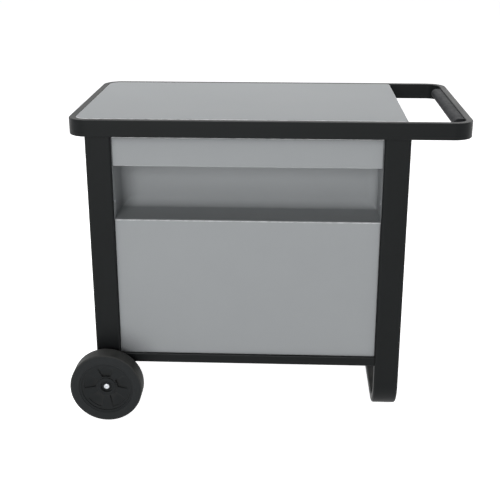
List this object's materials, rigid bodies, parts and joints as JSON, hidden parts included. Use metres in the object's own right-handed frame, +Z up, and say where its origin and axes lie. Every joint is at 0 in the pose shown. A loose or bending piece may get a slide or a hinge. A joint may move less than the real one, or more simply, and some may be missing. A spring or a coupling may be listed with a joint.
{
  "type": "grill cart",
  "caption": "Wheeled cart for a tabletop grill: sheet worktop in a tube rim with a push handle, open storage niche, front panel, bottle tray, bent sled frame and a wheel axle.",
  "frame": {"origin": "on the floor, under the centre of the overall box", "axes": "+X along the cart from the wheels to the handle, +Y from the front panel to the open back, +Z up"},
  "size_m": [0.9706, 0.6522, 0.7609],
  "materials": {
    "frame_black": "fine matt black powder coat",
    "sheet_grey": "smooth light grey powder coat",
    "grip_plastic": "fine grained moulding",
    "black_plastic": "plain moulding",
    "tyre": "plain dull tread",
    "plated_steel": "bright zinc plate"
  },
  "bodies": {
    "cart": {"top_rim": "frame_black", "worktop": "sheet_grey", "left_brace": "frame_black", "middle_brace": "frame_black", "right_brace": "frame_black", "front_stiffener": "sheet_grey", "rear_stiffener": "sheet_grey", "handle_grip": "grip_plastic", "left_front_leg": "frame_black", "left_rear_leg": "frame_black", "sled_frame": "frame_black", "leg_end_plugs": "black_plastic", "sled_glides": "black_plastic", "leg_brackets": "frame_black", "front_rail": "frame_black", "rear_rail": "frame_black", "rail_straps": "frame_black", "front_apron": "sheet_grey", "storage_niche": "sheet_grey", "front_panel": "sheet_grey", "bottle_tray": "frame_black", "tray_hangers": "frame_black", "axle": "plated_steel", "axle_tube": "frame_black", "axle_screws": "plated_steel", "outer_washers": "black_plastic", "inner_washers": "black_plastic", "bracket_bolts": "plated_steel", "brace_bolts": "plated_steel", "strap_bolts": "plated_steel", "panel_screws": "sheet_grey", "niche_screws": "sheet_grey", "apron_screws": "sheet_grey", "brace_screws": "plated_steel"},
    "front_wheel": {"front_hub": "black_plastic", "front_tyre": "tyre"},
    "rear_wheel": {"rear_hub": "black_plastic", "rear_tyre": "tyre"}
  },
  "joints": [
    {"name": "front_wheel_spin", "type": "hinge", "parent": "cart", "child": "front_wheel", "pos_m": [-0.39493, -0.3031, 0.0904], "axis": [0, 1, 0], "continuous": true},
    {"name": "rear_wheel_spin", "type": "hinge", "parent": "cart", "child": "rear_wheel", "pos_m": [-0.39493, 0.3031, 0.0904], "axis": [0, 1, 0], "continuous": true}
  ]
}
